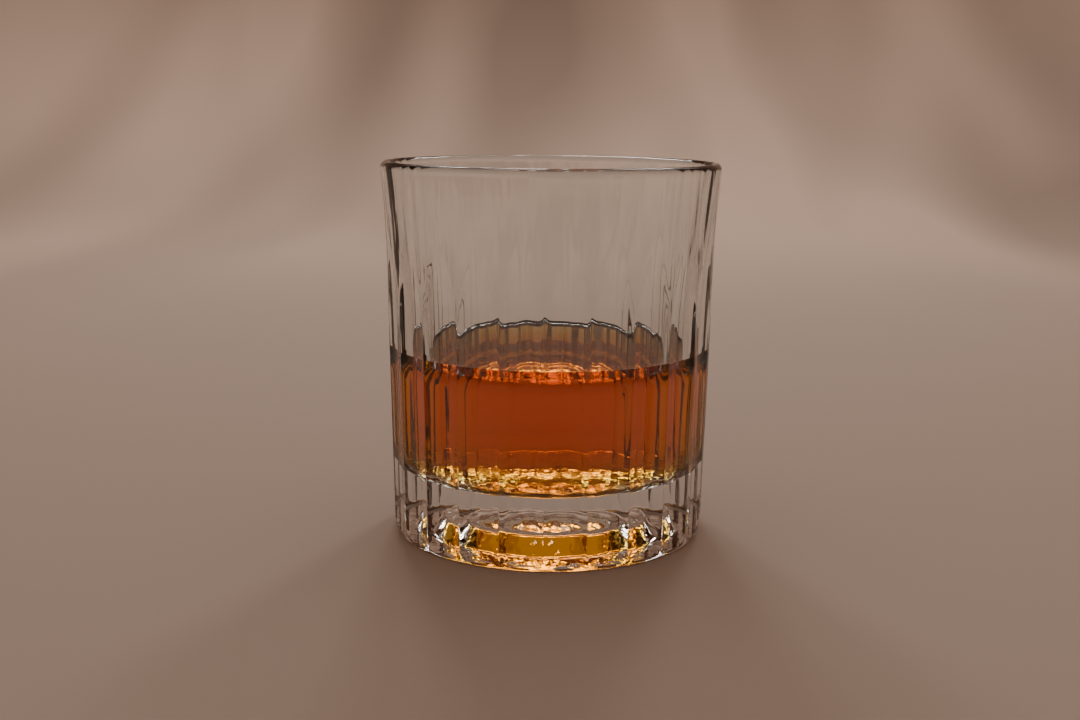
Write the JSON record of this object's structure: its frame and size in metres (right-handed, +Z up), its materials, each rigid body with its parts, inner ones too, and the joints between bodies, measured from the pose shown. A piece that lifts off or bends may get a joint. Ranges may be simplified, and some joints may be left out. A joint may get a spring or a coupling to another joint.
{
  "type": "whiskey tumbler",
  "caption": "Round straight-sided glass tumbler with tall, slightly hollow panels, a plain flared lip and a thick clear base, holding a pour of whiskey.",
  "frame": {"origin": "on the table, at the centre of the ring that the glass stands on", "axes": "+Z up along the glass's axis towards its mouth; a ridge between two panels points along -Y, towards the front"},
  "size_m": [0.085, 0.085, 0.094],
  "materials": {
    "clear_glass": "clear fire-polished pressed glass",
    "whiskey": "clear amber liquid"
  },
  "bodies": {
    "root": {"tumbler": "clear_glass", "whiskey": "whiskey"}
  },
  "joints": []
}
